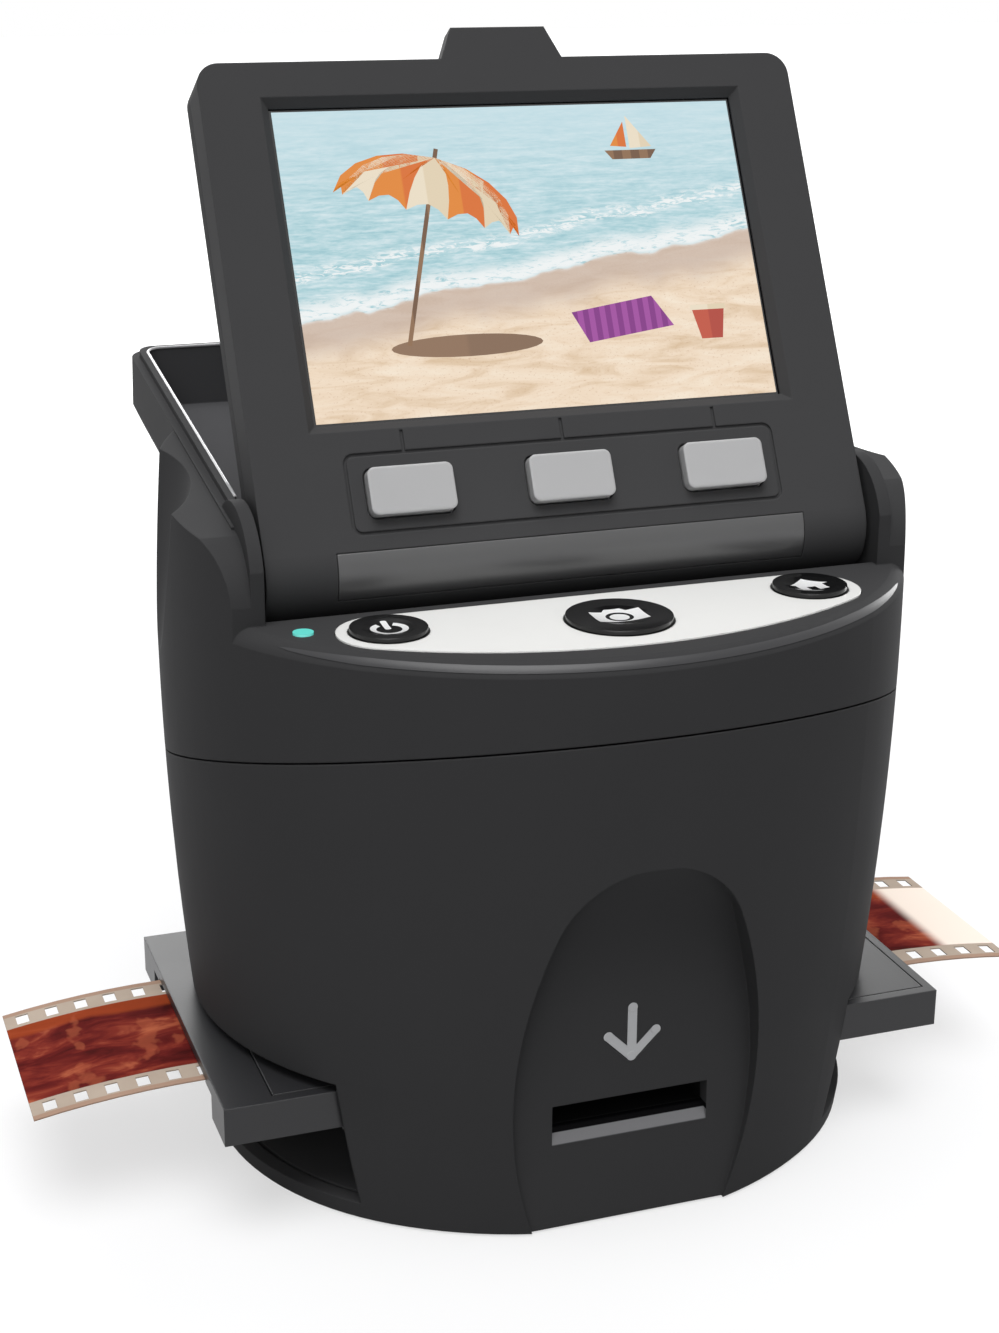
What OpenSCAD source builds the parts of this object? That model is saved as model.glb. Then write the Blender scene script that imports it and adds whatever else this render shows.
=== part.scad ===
// Film negative scanner with a flip-up display lid.
// Millimetres, +Z up, front towards -Y. The origin is on the body's upright axis, on the table.

/* [Display lid] */
// Visible picture width
lcd_w = 75; // [60:0.1:80]
// Visible picture height
lcd_h = 48.9; // [40:0.1:56]
// Height of the picture's lower edge above the hinge axis
lcd_z = 19.23; // [17:0.01:25]
// Lid frame beside the picture
lid_side = 10.44; // [8:0.01:14]
// Lid frame above the picture
lid_top = 6.77; // [5:0.01:10]
// Lid thickness
lid_t = 8.8; // [7:0.1:12]
// Radius of the hinge barrel
barrel_r = 8; // [6:0.1:10]
// Backward lean of the open lid, degrees from upright
lid_lean = 27.9; // [0:0.1:60]
// Slope of the display well, degrees from level
well_slope = 8.4; // [0:0.1:20]

/* [Body] */
// Body outside the lid on each side, at the table
body_side = 5.26; // [5:0.01:8]
// How much less deep than wide the body is, half and half
oval_drop = 5.4; // [3:0.1:9]
// Outward swell of the wall from the table to its fullest height
body_swell = 6.0; // [3:0.1:9]
// Height where the body is fullest
swell_z = 85; // [75:1:95]
// Wall thickness of the moulded shells
wall = 2.4; // [2:0.1:3]
// Height of the control deck
deck_z = 93.4; // [85:0.1:105]
// Height of the seam on the body axis
seam_z = 67; // [60:0.5:74]
// Backward fall of the seam, degrees
seam_tilt = 15.06; // [5:0.01:20]
// Edge radius of the control deck
deck_r = 3; // [2:0.5:4]

/* [Buttons] */
// Small button radius
side_btn_r = 5.6; // [4:0.1:6]
// Large button radius
mid_btn_r = 7.8; // [6:0.1:9]
// Button travel
btn_travel = 0.8; // [0.3:0.1:1.5]
// Travel of the display keys
key_travel = 0.4; // [0.2:0.1:0.6]
// Spacing of the display keys
key_pitch = 24.93; // [20:0.01:25]
// Display key width
key_w = 13; // [10:0.1:16]
// Display key height
key_h = 7.1; // [5:0.1:8]

/* [Film tray] */
// Half length of the tray
tray_half_l = 59.5; // [56:0.1:70]
// Underside of the tray
tray_z = 16.3; // [15:0.1:18]
// Tray thickness
tray_t = 6.2; // [5.6:0.1:7]
// Film width, 35 mm film
film_w = 35; // [35:0.1:35]
// Film thickness
film_t = 0.2; // [0.13:0.01:0.3]
// Film length on the left of the tray
film_left = 26; // [5:1:40]
// Film length on the right of the tray
film_right = 22; // [5:1:40]
// Pitch of the film's sprocket holes
sprocket_pitch = 4.75; // [4.74:0.01:4.75]

/* [Fits] */
// Gap between pieces that move past each other
gap = 0.3; // [0.2:0.05:0.6]
// Gap between pieces that lie together
seat = 0.1; // [0.05:0.05:0.3]
// Radial running clearance of the hinge pins
pin_fit = 0.05; // [0.01:0.01:0.1]

/* [Hidden] */
$fn = 96;

// The display sets the lid's size, and the lid sets the body's.
lid_half_w = lcd_w / 2 + lid_side;
lid_len = lcd_z + lcd_h + lid_top;
body_half_w = lid_half_w + body_side;
body_half_d = body_half_w - oval_drop;
// Size of the body against the one drawn, in whole hundredths so that the deck's arcs still meet exactly
body_k = round(100 * body_half_w / 53.2) / 100;
// The hinge keeps its place behind the deck's front edge and above the deck.
hinge_y = 35.2 - body_half_d;
hinge_z = deck_z + 5;

// The body's plan is an oval of four tangent arcs, whose centres lie on three-four-five triangles.
side_c = 1.5 * oval_drop;
front_c = 2 * oval_drop;
side_r = body_half_w - side_c;
front_r = body_half_d + front_c;
// The wall's side view is one arc of this radius.
swell_r = round((swell_z * swell_z + body_swell * body_swell) / (2 * body_swell));
deck_drop = swell_r - sqrt(swell_r * swell_r - pow(deck_z - deck_r - swell_z, 2));
deck_edge = round(1000 * (body_swell - deck_drop)) / 1000;
shell_z = 0.4;
base_t = 3;
floor_z = base_t;
inner = -wall;

// Display well, in the frame of the hinge axis and the well's slope
rim_h = 8.5;
ledge_h = 7.0;
well_floor = -2.2;
well_under = -5.0;
well_half_w = lid_half_w + 0.56;
well_len = lid_len + 1.0;
block_half_w = lid_half_w + 3.26;
block_len = well_len + 2.4;
block_r = 4;
ledge_z = hinge_z + ledge_h / cos(well_slope);
cheek_y = hinge_y - 10.4;
cheek_r = 10;
pocket_y = hinge_y - 8.6;
pocket_half_w = lid_half_w + 0.86;
trough_half_w = pocket_half_w + 2;
pocket_z = deck_z - 3.5;
pocket_r = barrel_r + 0.6;
scoop_tilt = 12.8;
thumb_r = 24;
thumb_x = body_half_w + 24.2;
thumb_y = 8.5;
thumb_z = deck_z + 14.6;

// Front scoop with the card slot
scoop_y = 2.7 - body_half_d;
scoop_side_r = 75;
scoop_half_w = 19.6;
scoop_wide_z = 24;
scoop_top_z = 46.2;
scoop_top_r = 15.3;
cove_z = 38;
cove_r = 37.1;
slot_half_w = 12.6;
slot_lo = 16.9;
slot_hi = 21.2;
slot_lip = 14.6;

// Tray tunnel
tray_y = -1.5;
tray_half_d = body_half_d - 17;
tray_lo = tray_y - tray_half_d;
tray_hi = tray_y + tray_half_d;
tunnel_lo = tray_lo - 0.5;
tunnel_hi = tray_hi + 0.5;
tunnel_wall = 1.8;
tunnel_top = tray_z + tray_t + 1.7;
port_x = body_half_w - 17.2;
port_lo = tray_lo - 1.0;
port_hi = tray_hi + 1.0;
rail_z = tray_z - gap;
rail_w = 3;
boss_x = 22;
boss_front = 10.3 - body_half_d;
boss_rear = body_half_d - 11.3;
boss_r = 2.6;
board_boss_x = 26;
board_boss_z = [36, 50];
pcb_y = body_half_d - 13.8;
port_z = 47;
hdmi_x = -12;
usb_x = 12;
foot_t = 1.5;
feet_x = 33;
feet_y = 24;

// Optics
light_x = 26;
light_y = 18;
column_x = 22;
column_y = 18;
column_z = tunnel_top + 2 + seat;
column_top = deck_z - 23.4;
shelf_z = 46;
lens_r = 9;

// Control deck
fascia_t = 1.2;
fascia_z = deck_z - 1.0;
fascia_rear = hinge_y - 11.2;
fascia_end_r = 7.6;
fascia_end_y = fascia_rear - fascia_end_r;
// The arcs' centres are 33, 56 and 65 mm apart, so the arcs meet smoothly.
fascia_end_x = 33 * body_k;
fascia_cy = fascia_end_y + 56 * body_k;
fascia_r = fascia_end_r + 65 * body_k;
side_btn_x = fascia_end_x;
side_btn_y = hinge_y - 18.6;
mid_btn_y = hinge_y - 23.8;
deck_under = deck_z - 3;
control_z = deck_z - 11;
board_t = 1.6;
led_x = 8.6 - body_half_w;
led_y = hinge_y - 15.4;
led_r = 1.5;
btn_top = fascia_z + fascia_t + 0.7;

// Lid, in its own frame: hinge axis at the origin, up along the lid, front face at -Y
face_y = -barrel_r;
back_y = face_y + lid_t;
bezel_t = 1.6;
bezel_back = back_y - 2.6;
key_z = 8.4;
key_r = 1.1;
key_back = face_y + bezel_t + gap + 0.9;
dome_y = key_back + key_travel + gap;
cover_half_w = lid_half_w - 10.76;
cover_sweep = 52;
cover_t = 1.5;
pin_r = 2.5;

// Side view of the swelling wall out from an arc of radius r
module swell_view(r, z0, z1) {
  intersection() {
    translate([0, z0])
      square([r + body_swell + 1, z1 - z0]);
    translate([r + body_swell - swell_r, swell_z])
      circle(r = swell_r, $fn = 200);
  }
}

// Side view of what stays inside the deck's rounded edge
module edge_view(r, z0, z1) {
  cx = r + deck_edge - deck_r + 0.1;
  translate([0, z0])
    square([cx, z1 - z0]);
  translate([cx, deck_z - deck_r + 0.1])
    circle(r = deck_r);
}

module side_view(kind, r, z0, z1) {
  if (kind == "swell")
    swell_view(r, z0, z1);
  if (kind == "edge")
    edge_view(r, z0, z1);
  if (kind == "plate")
    translate([0, z0])
      square([r, z1 - z0]);
}

// Solid oval body between two heights, offset outwards by g. Its four arc pieces meet on shared planes.
module oval(kind, g, z0, z1) {
  far = 30;
  for (s = [0, 1])
    mirror([0, s, 0])
      intersection() {
        translate([0, front_c, 0])
          rotate_extrude($fn = 200)
            side_view(kind, front_r + g, z0, z1);
        translate([0, 0, z0 - 1])
          linear_extrude(height = z1 - z0 + 2)
            polygon([[0, front_c], [side_c + 3 * far, -4 * far], [-side_c - 3 * far, -4 * far]]);
      }
  for (s = [0, 1])
    mirror([s, 0, 0])
      intersection() {
        translate([side_c, 0, 0])
          rotate_extrude($fn = 200)
            side_view(kind, side_r + g, z0, z1);
        translate([0, 0, z0 - 1])
          linear_extrude(height = z1 - z0 + 2)
            polygon([[side_c, 0], [side_c + 3 * far, -4 * far], [side_c + 3 * far, 4 * far]]);
      }
}

// Everything under the seam plane, lifted by dz
module below_seam(dz) {
  translate([0, 0, seam_z + dz])
    rotate([-seam_tilt, 0, 0])
      translate([-120, -120, -200])
        cube([240, 240, 200]);
}

// Prism along X from a Y-Z outline
module along_x(half) {
  rotate([90, 0, 90])
    linear_extrude(height = 2 * half, center = true)
      children();
}

// Prism along Y from an X-Z outline
module along_y(y0, y1) {
  translate([0, y1, 0])
    rotate([90, 0, 0])
      linear_extrude(height = y1 - y0)
        children();
}

module block(x0, x1, y0, y1, z0, z1) {
  translate([x0, y0, z0])
    cube([x1 - x0, y1 - y0, z1 - z0]);
}

module post(x, y, z0, z1, r) {
  translate([x, y, z0])
    cylinder(r = r, h = z1 - z0);
}

module corner_posts(dx, dy, z0, z1, r) {
  for (sx = [-1, 1])
    for (sy = [-1, 1])
      post(sx * dx, sy * dy, z0, z1, r);
}

// ---------------------------------------------------------------- base

module base_bosses(z0, z1, r) {
  for (sx = [-1, 1]) {
    post(sx * boss_x, boss_front, z0, z1, r);
    post(sx * boss_x, boss_rear, z0, z1, r);
  }
}

module base_plate() {
  color("#2c2d30")
    difference() {
      oval("plate", inner - gap, 0, base_t);
      front_scoop(wall + gap);
      corner_posts(feet_x, feet_y, -1, foot_t + seat, 5.2);
      base_bosses(-1, 1.7, 2.5);
      base_bosses(-1, 10, 1.4);
      for (x = [-12.5:5:12.5])
        block(x - 1, x + 1, -13, 10, -1, 10);
    }
}

module rubber_feet() {
  color("#1b1b1d")
    corner_posts(feet_x, feet_y, 0, foot_t, 5);
}

module base_screws() {
  color("#a9adb2")
    for (sx = [-1, 1])
      for (y = [boss_front, boss_rear])
        difference() {
          union() {
            post(sx * boss_x, y, 0.5, 1.6, 2.2);
            post(sx * boss_x, y, 0.7, 11, 1.2);
          }
          translate([sx * boss_x, y, 0.7])
            cube([3, 0.6, 0.8], center = true);
          translate([sx * boss_x, y, 0.7])
            cube([0.6, 3, 0.8], center = true);
        }
}

// ---------------------------------------------------------------- lower shell

// Space taken out of the front for the card slot, grown by m
module front_scoop(m) {
  intersection() {
    along_y(-90, scoop_y + m)
      intersection() {
        translate([scoop_side_r - scoop_half_w, scoop_wide_z])
          circle(r = scoop_side_r + m, $fn = 200);
        translate([scoop_half_w - scoop_side_r, scoop_wide_z])
          circle(r = scoop_side_r + m, $fn = 200);
        union() {
          translate([0, scoop_top_z])
            circle(r = scoop_top_r + m, $fn = 200);
          translate([-40, -10])
            square([80, 14.6 + scoop_top_z]);
        }
      }
    along_x(40)
      union() {
        translate([-100, -10])
          square([100 + scoop_y + m, cove_z + 10]);
        translate([scoop_y - cove_r, cove_z])
          circle(r = cove_r + m, $fn = 200);
      }
  }
}

module slot_cut() {
  along_x(slot_half_w)
    polygon([[-70, slot_lip], [scoop_y, slot_lip], [scoop_y + 1.5, slot_lo], [scoop_y + 3.2, slot_lo],
      [scoop_y + 3.2, slot_hi], [-70, slot_hi]]);
}

module arrow_view(g) {
  arrow_w = 0.75 + g;
  translate([0, 31.6])
    square([2 * arrow_w, 8.2 + 2 * g], center = true);
  for (s = [-1, 1])
    translate([0, 27.6 - g * 1.4])
      rotate([0, 0, s * 45])
        translate([-arrow_w, 0])
          square([2 * arrow_w, 5.4 + 2 * g]);
}

module slot_arrow() {
  color("#b9bbbf")
    along_y(scoop_y + 0.05, scoop_y + 0.35)
      arrow_view(0);
}

module board_posts(y0, y1, r) {
  for (sx = [-1, 1])
    for (z = board_boss_z)
      translate([sx * board_boss_x, y0, z])
        rotate([-90, 0, 0])
          cylinder(r = r, h = y1 - y0);
}

module lower_shell() {
  color("#2f3033")
    difference() {
      intersection() {
        oval("swell", 0, shell_z, 90);
        below_seam(-0.15);
      }
      difference() {
        oval("swell", inner, 0, 95);
        front_scoop(wall);
        base_bosses(floor_z + seat, 14, boss_r);
        for (sx = [-1, 1])
          for (y = [boss_front - 9, boss_rear])
            block(sx * boss_x - 0.8, sx * boss_x + 0.8, y, y + 9, floor_z + seat, 14);
        board_posts(pcb_y + board_t + seat, 60, 2.8);
      }
      front_scoop(0);
      slot_cut();
      along_y(scoop_y - 1, scoop_y + 0.4)
        arrow_view(0.05);
      for (sx = [-1, 1])
        mirror([sx > 0 ? 0 : 1, 0, 0])
          block(port_x, 90, port_lo, port_hi, floor_z + 0.1, tunnel_top);
      base_bosses(0, 12, 1.3);
      board_posts(pcb_y + 1, pcb_y + 9, 1.1);
      block(hdmi_x - 8.1, hdmi_x + 8.1, body_half_d - 3.8, 70, port_z - 3.4, port_z + 3.4);
      block(usb_x - 5.1, usb_x + 5.1, body_half_d - 3.8, 70, port_z - 2.4, port_z + 2.4);
    }
}

// ---------------------------------------------------------------- top shell

module well_frame() {
  translate([0, hinge_y, hinge_z])
    rotate([well_slope, 0, 0])
      children();
}

// Plate with rounded rear corners, in the well frame
module well_plate(half_w, len, r, z0, z1) {
  translate([0, 0, z0])
    linear_extrude(height = z1 - z0)
      union() {
        translate([-half_w, 0])
          square([2 * half_w, len - r]);
        translate([-half_w + r, 0])
          square([2 * (half_w - r), len]);
        for (s = [-1, 1])
          translate([s * (half_w - r), len - r])
            circle(r = r);
      }
}

// Outside of the display well: block, rim bead and hinge trough
module well_outer() {
  well_frame()
    difference() {
      union() {
        well_plate(block_half_w, block_len, block_r, well_under, ledge_h + 0.4);
        well_plate(block_half_w - 1.3, block_len - 1.3, block_r - 1.3, 0, rim_h);
      }
      for (s = [-1, 1])
        along_y(-1, block_len + 1)
          polygon([[s * (block_half_w + 1), well_under + 5.5], [s * (block_half_w + 1), well_under - 1],
            [s * (block_half_w - 2.3), well_under - 1], [s * (block_half_w - 1.8), well_under],
            [s * block_half_w, well_under + 4]]);
      along_x(60)
        polygon([[block_len + 1, well_under + 5], [block_len + 1, well_under - 1],
          [block_len - 4, well_under - 1], [block_len - 3.3, well_under], [block_len, well_under + 3.3]]);
    }
  translate([0, hinge_y, hinge_z])
    rotate([0, 90, 0])
      cylinder(r = pocket_r + 2.2, h = 2 * trough_half_w, center = true);
  block(-trough_half_w, trough_half_w, pocket_y - 2.2, hinge_y, pocket_z - 2.2, deck_z);
}

module hinge_bosses(r, x0, x1) {
  for (s = [-1, 1])
    translate([s * (x0 + x1) / 2, hinge_y, hinge_z])
      rotate([0, 90, 0])
        cylinder(r = r, h = x1 - x0, center = true);
}

// Thumb scallop on each side, grown by m
module thumb_scallops(m) {
  for (s = [-1, 1])
    translate([s * thumb_x, thumb_y, thumb_z])
      rotate([0, -s * scoop_tilt, 0])
        cylinder(r = thumb_r + m, h = 70, center = true, $fn = 200);
}

function ledge_at(y) = ledge_z + tan(well_slope) * (y - hinge_y);

// Side view of cheeks and ledge with a rounded front corner, shrunk by m
module cheek_view(m) {
  y0 = cheek_y + m;
  r = cheek_r - m;
  drop = m / cos(well_slope);
  yc = y0 + r;
  zc = ledge_at(yc) - drop - r / cos(well_slope);
  difference() {
    polygon([[y0, 40], [y0, ledge_at(y0) - drop], [70, ledge_at(70) - drop], [70, 40]]);
    difference() {
      translate([y0 - 2, zc])
        square([r + 2 - r * sin(well_slope), 30]);
      translate([yc + 0.04, zc])
        circle(r = r + 0.09, $fn = 200);
    }
  }
}

// Cuts the front of the deck's edge round
module deck_edge_cut() {
  difference() {
    block(-70, 70, -70, cheek_y, deck_z - deck_r + 0.1, deck_z + 1);
    oval("edge", 0, deck_z - 8, deck_z + 2);
  }
}

module control_bosses(z0, r) {
  for (s = [-1, 1])
    post(s * 20, hinge_y - 17.9, z0, deck_under + 0.5, r);
}

module button_holes(z0, z1, m) {
  for (s = [-1, 1])
    post(s * side_btn_x, side_btn_y, z0, z1, side_btn_r + m);
  post(0, mid_btn_y, z0, z1, mid_btn_r + m);
}

// Crescent plate of the control deck, grown by m: a long front arc and two end arcs
module crescent(m, z0, t) {
  run = [16.5 * body_k, -28 * body_k];
  tip = [fascia_end_x + run[0], fascia_end_y + run[1]];
  intersection() {
    translate([0, fascia_cy, z0])
      cylinder(r = fascia_r + m, h = t, $fn = 200);
    translate([0, 0, z0 - 1])
      linear_extrude(height = t + 2)
        polygon([[0, fascia_cy], tip, [-tip[0], tip[1]]]);
    block(-60, 60, -80, fascia_rear + m, z0 - 1, z0 + t + 1);
  }
  block(-fascia_end_x, fascia_end_x, fascia_end_y, fascia_rear + m, z0, z0 + t);
  for (s = [0, 1])
    mirror([s, 0, 0])
      intersection() {
        post(fascia_end_x, fascia_end_y, z0, z0 + t, fascia_end_r + m);
        translate([0, 0, z0 - 1])
          linear_extrude(height = t + 2)
            polygon([[fascia_end_x, fascia_end_y], tip, [60, tip[1]], [60, 0], [fascia_end_x, 0]]);
      }
}

module top_shell() {
  color("#303135")
    difference() {
      union() {
        difference() {
          intersection() {
            oval("swell", 0, 45, 125);
            along_x(70)
              union() {
                translate([-70, 20])
                  square([70 + cheek_y + 3, deck_z - 20]);
                cheek_view(0);
              }
          }
          deck_edge_cut();
        }
        well_outer();
      }
      below_seam(0.15);
      difference() {
        intersection() {
          oval("swell", inner, 30, 125);
          along_x(70)
            union() {
              translate([-70, 20])
                square([70 + cheek_y + 6, deck_under - 20]);
              cheek_view(wall);
            }
        }
        well_outer();
        hinge_bosses(5.5, pocket_half_w - 1.8, pocket_half_w + 13.2);
        thumb_scallops(wall);
        control_bosses(control_z + board_t + seat, 2.4);
      }
      well_frame()
        difference() {
          well_plate(well_half_w, well_len, 2.5, well_floor, 30);
          block(-60, 60, -1, 4, -20, well_floor + 0.01);
        }
      well_frame()
        block(-11.5, 11.5, well_len - 2, block_len + 3, 3.4, 20);
      translate([0, hinge_y, hinge_z])
        rotate([0, 90, 0])
          cylinder(r = pocket_r, h = 2 * pocket_half_w, center = true);
      block(-pocket_half_w, pocket_half_w, pocket_y, hinge_y + 7, pocket_z + 4, 130);
      block(-pocket_half_w, pocket_half_w, pocket_y, hinge_y, pocket_z, 100);
      block(-70, 70, -70, cheek_y, deck_z, 130);
      block(-pocket_half_w, pocket_half_w, cheek_y - 1, hinge_y, deck_z, 130);
      hinge_bosses(pin_r + 0.01, pocket_half_w - 1.8, pocket_half_w + 5.2);
      thumb_scallops(0);
      crescent(seat, fascia_z, 5);
      button_holes(80, 100, gap);
      post(led_x, led_y, 80, 100, led_r + seat / 2);
      control_bosses(70, 0.9);
    }
}

module control_fascia() {
  color("#f2f2f0")
    difference() {
      crescent(0, fascia_z + 0.05, fascia_t - 0.05);
      button_holes(80, 100, gap);
    }
}

module led_window() {
  color("#58d3c8")
    post(led_x, led_y, deck_under - 1, deck_z + 0.3, led_r);
}

module status_led() {
  color("#d8f2ee")
    post(led_x, led_y, control_z + board_t + seat, deck_under - 1.3, 1.2);
}

module control_board() {
  rear = hinge_y - 11.9;
  color("#2f6b46")
    difference() {
      union() {
        block(led_x - 1.4, 1.4 - led_x, led_y - 1.6, rear, control_z, control_z + board_t);
        block(-side_btn_x - 5, side_btn_x + 5, side_btn_y - 4.3, rear, control_z, control_z + board_t);
        block(-14, 14, mid_btn_y - 5.6, rear, control_z, control_z + board_t);
      }
      control_bosses(70, 1.1);
    }
}

module tact_switch(x, y) {
  z = control_z + board_t + seat;
  block(x - 3, x + 3, y - 3, y + 3, z, z + 2.6);
  post(x, y, z + 2, deck_under - 1.2 - 2 * gap - btn_travel, 1.7);
}

module deck_switches() {
  color("#8f9398") {
    tact_switch(-side_btn_x, side_btn_y);
    tact_switch(side_btn_x, side_btn_y);
    tact_switch(0, mid_btn_y);
  }
}

// Button cap with a dished top, a keeper flange below the deck and a stub above its switch
module deck_button(x, y, r) {
  flange = deck_under - gap;
  dish = 3 * r;
  difference() {
    union() {
      post(x, y, flange - 1.2, btn_top, r);
      post(x, y, flange - 1.2, flange, r + 1.3);
    }
    translate([x, y, btn_top - 0.45 + dish])
      sphere(r = dish, $fn = 200);
    difference() {
      post(x, y, flange - 2, btn_top - 1.9, r - 1.4);
      post(x, y, flange - 3, btn_top, 1.8);
    }
  }
}

module power_button() {
  color("#101114")
    deck_button(-side_btn_x, side_btn_y, side_btn_r);
}

module capture_button() {
  color("#101114")
    deck_button(0, mid_btn_y, mid_btn_r);
}

module home_button() {
  color("#101114")
    deck_button(side_btn_x, side_btn_y, side_btn_r);
}

// ---------------------------------------------------------------- card socket and boards

module card_socket() {
  y0 = scoop_y + wall + seat;
  y1 = tunnel_lo - tunnel_wall - seat;
  color("#b4b7bb")
    difference() {
      block(-14.2, 14.2, y0, y1, slot_lo - 0.6, slot_hi + 0.6);
      block(-slot_half_w, slot_half_w, y0 - 1, y1 - 0.8, slot_lo, slot_hi);
    }
}

module main_board() {
  color("#2f6b46")
    difference() {
      block(-32, 32, pcb_y, pcb_y + board_t, 28, 70);
      board_posts(pcb_y - 4, pcb_y + 6, 1.3);
    }
}

module board_screws() {
  color("#a9adb2")
    for (sx = [-1, 1])
      for (z = board_boss_z)
        translate([sx * board_boss_x, 0, z])
          rotate([-90, 0, 0]) {
            translate([0, 0, pcb_y - 1.3])
              cylinder(r = 2, h = 1.2);
            translate([0, 0, pcb_y - 1])
              cylinder(r = 1, h = 8);
          }
}

module main_chips() {
  color("#26282b") {
    block(-9, 9, pcb_y - 1.6, pcb_y - seat, 48, 66);
    block(-30, -18, pcb_y - 1.3, pcb_y - seat, 55, 65);
    block(17, 29, pcb_y - 1.3, pcb_y - seat, 55, 65);
  }
}

// Rear socket: sheet sleeve with its contact tongue
module rear_socket(x, half_w, half_h, skin) {
  y0 = pcb_y + board_t + seat;
  y1 = body_half_d + 1.2;
  in_w = half_w - skin;
  in_h = half_h - skin;
  color("#b4b7bb") {
    difference() {
      block(x - half_w, x + half_w, y0, y1, port_z - half_h, port_z + half_h);
      block(x - in_w, x + in_w, y0 + 1.8, y1 + 1, port_z - in_h, port_z + in_h);
    }
    block(x - half_w + 2, x + half_w - 2, y0 + 1, y1 - 1, port_z - 0.4, port_z + 0.4);
  }
}

module hdmi_socket() {
  rear_socket(hdmi_x, 7.6, 3, 0.6);
}

module usb_socket() {
  rear_socket(usb_x, 4.6, 1.8, 0.5);
}

// ---------------------------------------------------------------- optics

module column_holes(z0, z1, r) {
  translate([0, tray_y, 0])
    corner_posts(column_x + 3.5, column_y - 5, z0, z1, r);
}

module optic_chassis() {
  top = tunnel_top + 2;
  color("#3a3b3f")
    difference() {
      intersection() {
        oval("swell", inner - gap, 0, 40);
        block(-70, 70, tunnel_lo - tunnel_wall, tunnel_hi + tunnel_wall, floor_z + seat, top);
      }
      difference() {
        block(-80, 80, tunnel_lo, tunnel_hi, 0, tunnel_top);
        for (s = [-1, 1]) {
          edge = s > 0 ? tunnel_hi : tunnel_lo;
          block(-80, 80, edge - rail_w, edge + rail_w, rail_z - 1.6, rail_z);
          block(-80, 80, edge - 1.6, edge + 1.6, tray_z + tray_t + gap, 40);
        }
      }
      block(-17, 17, tray_y - 12, tray_y + 12, 20, 40);
      column_holes(10, 40, 1);
    }
}

module light_box() {
  z0 = floor_z + seat;
  z1 = rail_z - 1.2;
  color("#d9dadb")
    difference() {
      block(-light_x, light_x, tray_y - light_y, tray_y + light_y, z0, z1);
      block(1.6 - light_x, light_x - 1.6, tray_y - light_y + 1.6, tray_y + light_y - 1.6, z0 + 1.2, z1 + 1);
    }
}

module backlight_board() {
  z0 = floor_z + seat + 1.3;
  color("#e6e6e0")
    block(-light_x + 2, light_x - 2, tray_y - light_y + 2, tray_y + light_y - 2, z0, z0 + 1.2);
}

module backlight_leds() {
  z0 = floor_z + seat + 2.6;
  color("#f0e7a8")
    for (x = [-15, 0, 15])
      for (y = [-8, 8])
        block(x - 1.7, x + 1.7, tray_y + y - 1.4, tray_y + y + 1.4, z0, z0 + 0.8);
}

module diffuser() {
  z0 = rail_z - 1.1;
  color("#fafafa")
    block(-light_x + 0.2, light_x - 0.2, tray_y - light_y + 0.2, tray_y + light_y - 0.2, z0, z0 + 1);
}

module optic_column() {
  color("#1f2022")
    difference() {
      union() {
        block(-column_x, column_x, tray_y - column_y, tray_y + column_y, column_z, column_top);
        block(-column_x - 6.5, column_x + 6.5, tray_y - column_y, tray_y + column_y, column_z, column_z + 2.4);
      }
      difference() {
        block(-column_x + 2, column_x - 2, tray_y - column_y + 2, tray_y + column_y - 2, 0, 100);
        block(-40, 40, -40, 40, shelf_z, shelf_z + 2.5);
      }
      post(0, tray_y, 20, 90, lens_r + 0.05);
      column_holes(10, 40, 1.2);
    }
}

module column_screws() {
  color("#a9adb2") {
    column_holes(column_z + 2.5, column_z + 3.8, 2);
    column_holes(column_z - 1.6, column_z + 3.4, 0.95);
  }
}

module lens_barrel() {
  color("#17181a")
    difference() {
      union() {
        post(0, tray_y, 41, 56, lens_r);
        post(0, tray_y, shelf_z + 2.6, 53, lens_r + 2);
      }
      post(0, tray_y, 40, 60, 5);
      post(0, tray_y, 40, 43.5, 7.5);
      post(0, tray_y, 53, 60, 7.5);
    }
}

// Two thick glass lenses, each a slice of two spheres
module lens_elements() {
  color("#bcd6e2")
    for (z = [43, 53.5])
      intersection() {
        translate([0, tray_y, z - 17])
          sphere(r = 18, $fn = 200);
        translate([0, tray_y, z + 17])
          sphere(r = 18, $fn = 200);
        post(0, tray_y, z - 3, z + 3, 7.3);
      }
}

module sensor_board() {
  color("#2f6b46")
    block(-21, 21, tray_y - 17, tray_y + 17, column_top + seat, column_top + seat + board_t);
}

module image_sensor() {
  color("#3b3442")
    block(-6, 6, tray_y - 4.5, tray_y + 4.5, column_top - 1.6, column_top);
}

// ---------------------------------------------------------------- lid

module lid_frame() {
  translate([0, hinge_y, hinge_z])
    rotate([-lid_lean, 0, 0])
      children();
}

module lid_plate(half_w, top, r, y0, y1) {
  along_y(y0, y1)
    union() {
      translate([-half_w, 0])
        square([2 * half_w, top - r]);
      translate([-half_w + r, 0])
        square([2 * (half_w - r), top]);
      for (s = [-1, 1])
        translate([s * (half_w - r), top - r])
          circle(r = r);
    }
}

// Outline with rounded corners
module round_view(x0, x1, z0, z1, r) {
  translate([x0, z0 + r])
    square([x1 - x0, z1 - z0 - 2 * r]);
  translate([x0 + r, z0])
    square([x1 - x0 - 2 * r, z1 - z0]);
  for (x = [x0 + r, x1 - r])
    for (z = [z0 + r, z1 - r])
      translate([x, z])
        circle(r = r);
}

// Outline of one key, grown by m
module key_view(i, m) {
  x = i * key_pitch;
  w = key_w / 2 + m;
  h = key_h / 2 + m;
  round_view(x - w, x + w, key_z - h, key_z + h, key_r + m);
}

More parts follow.
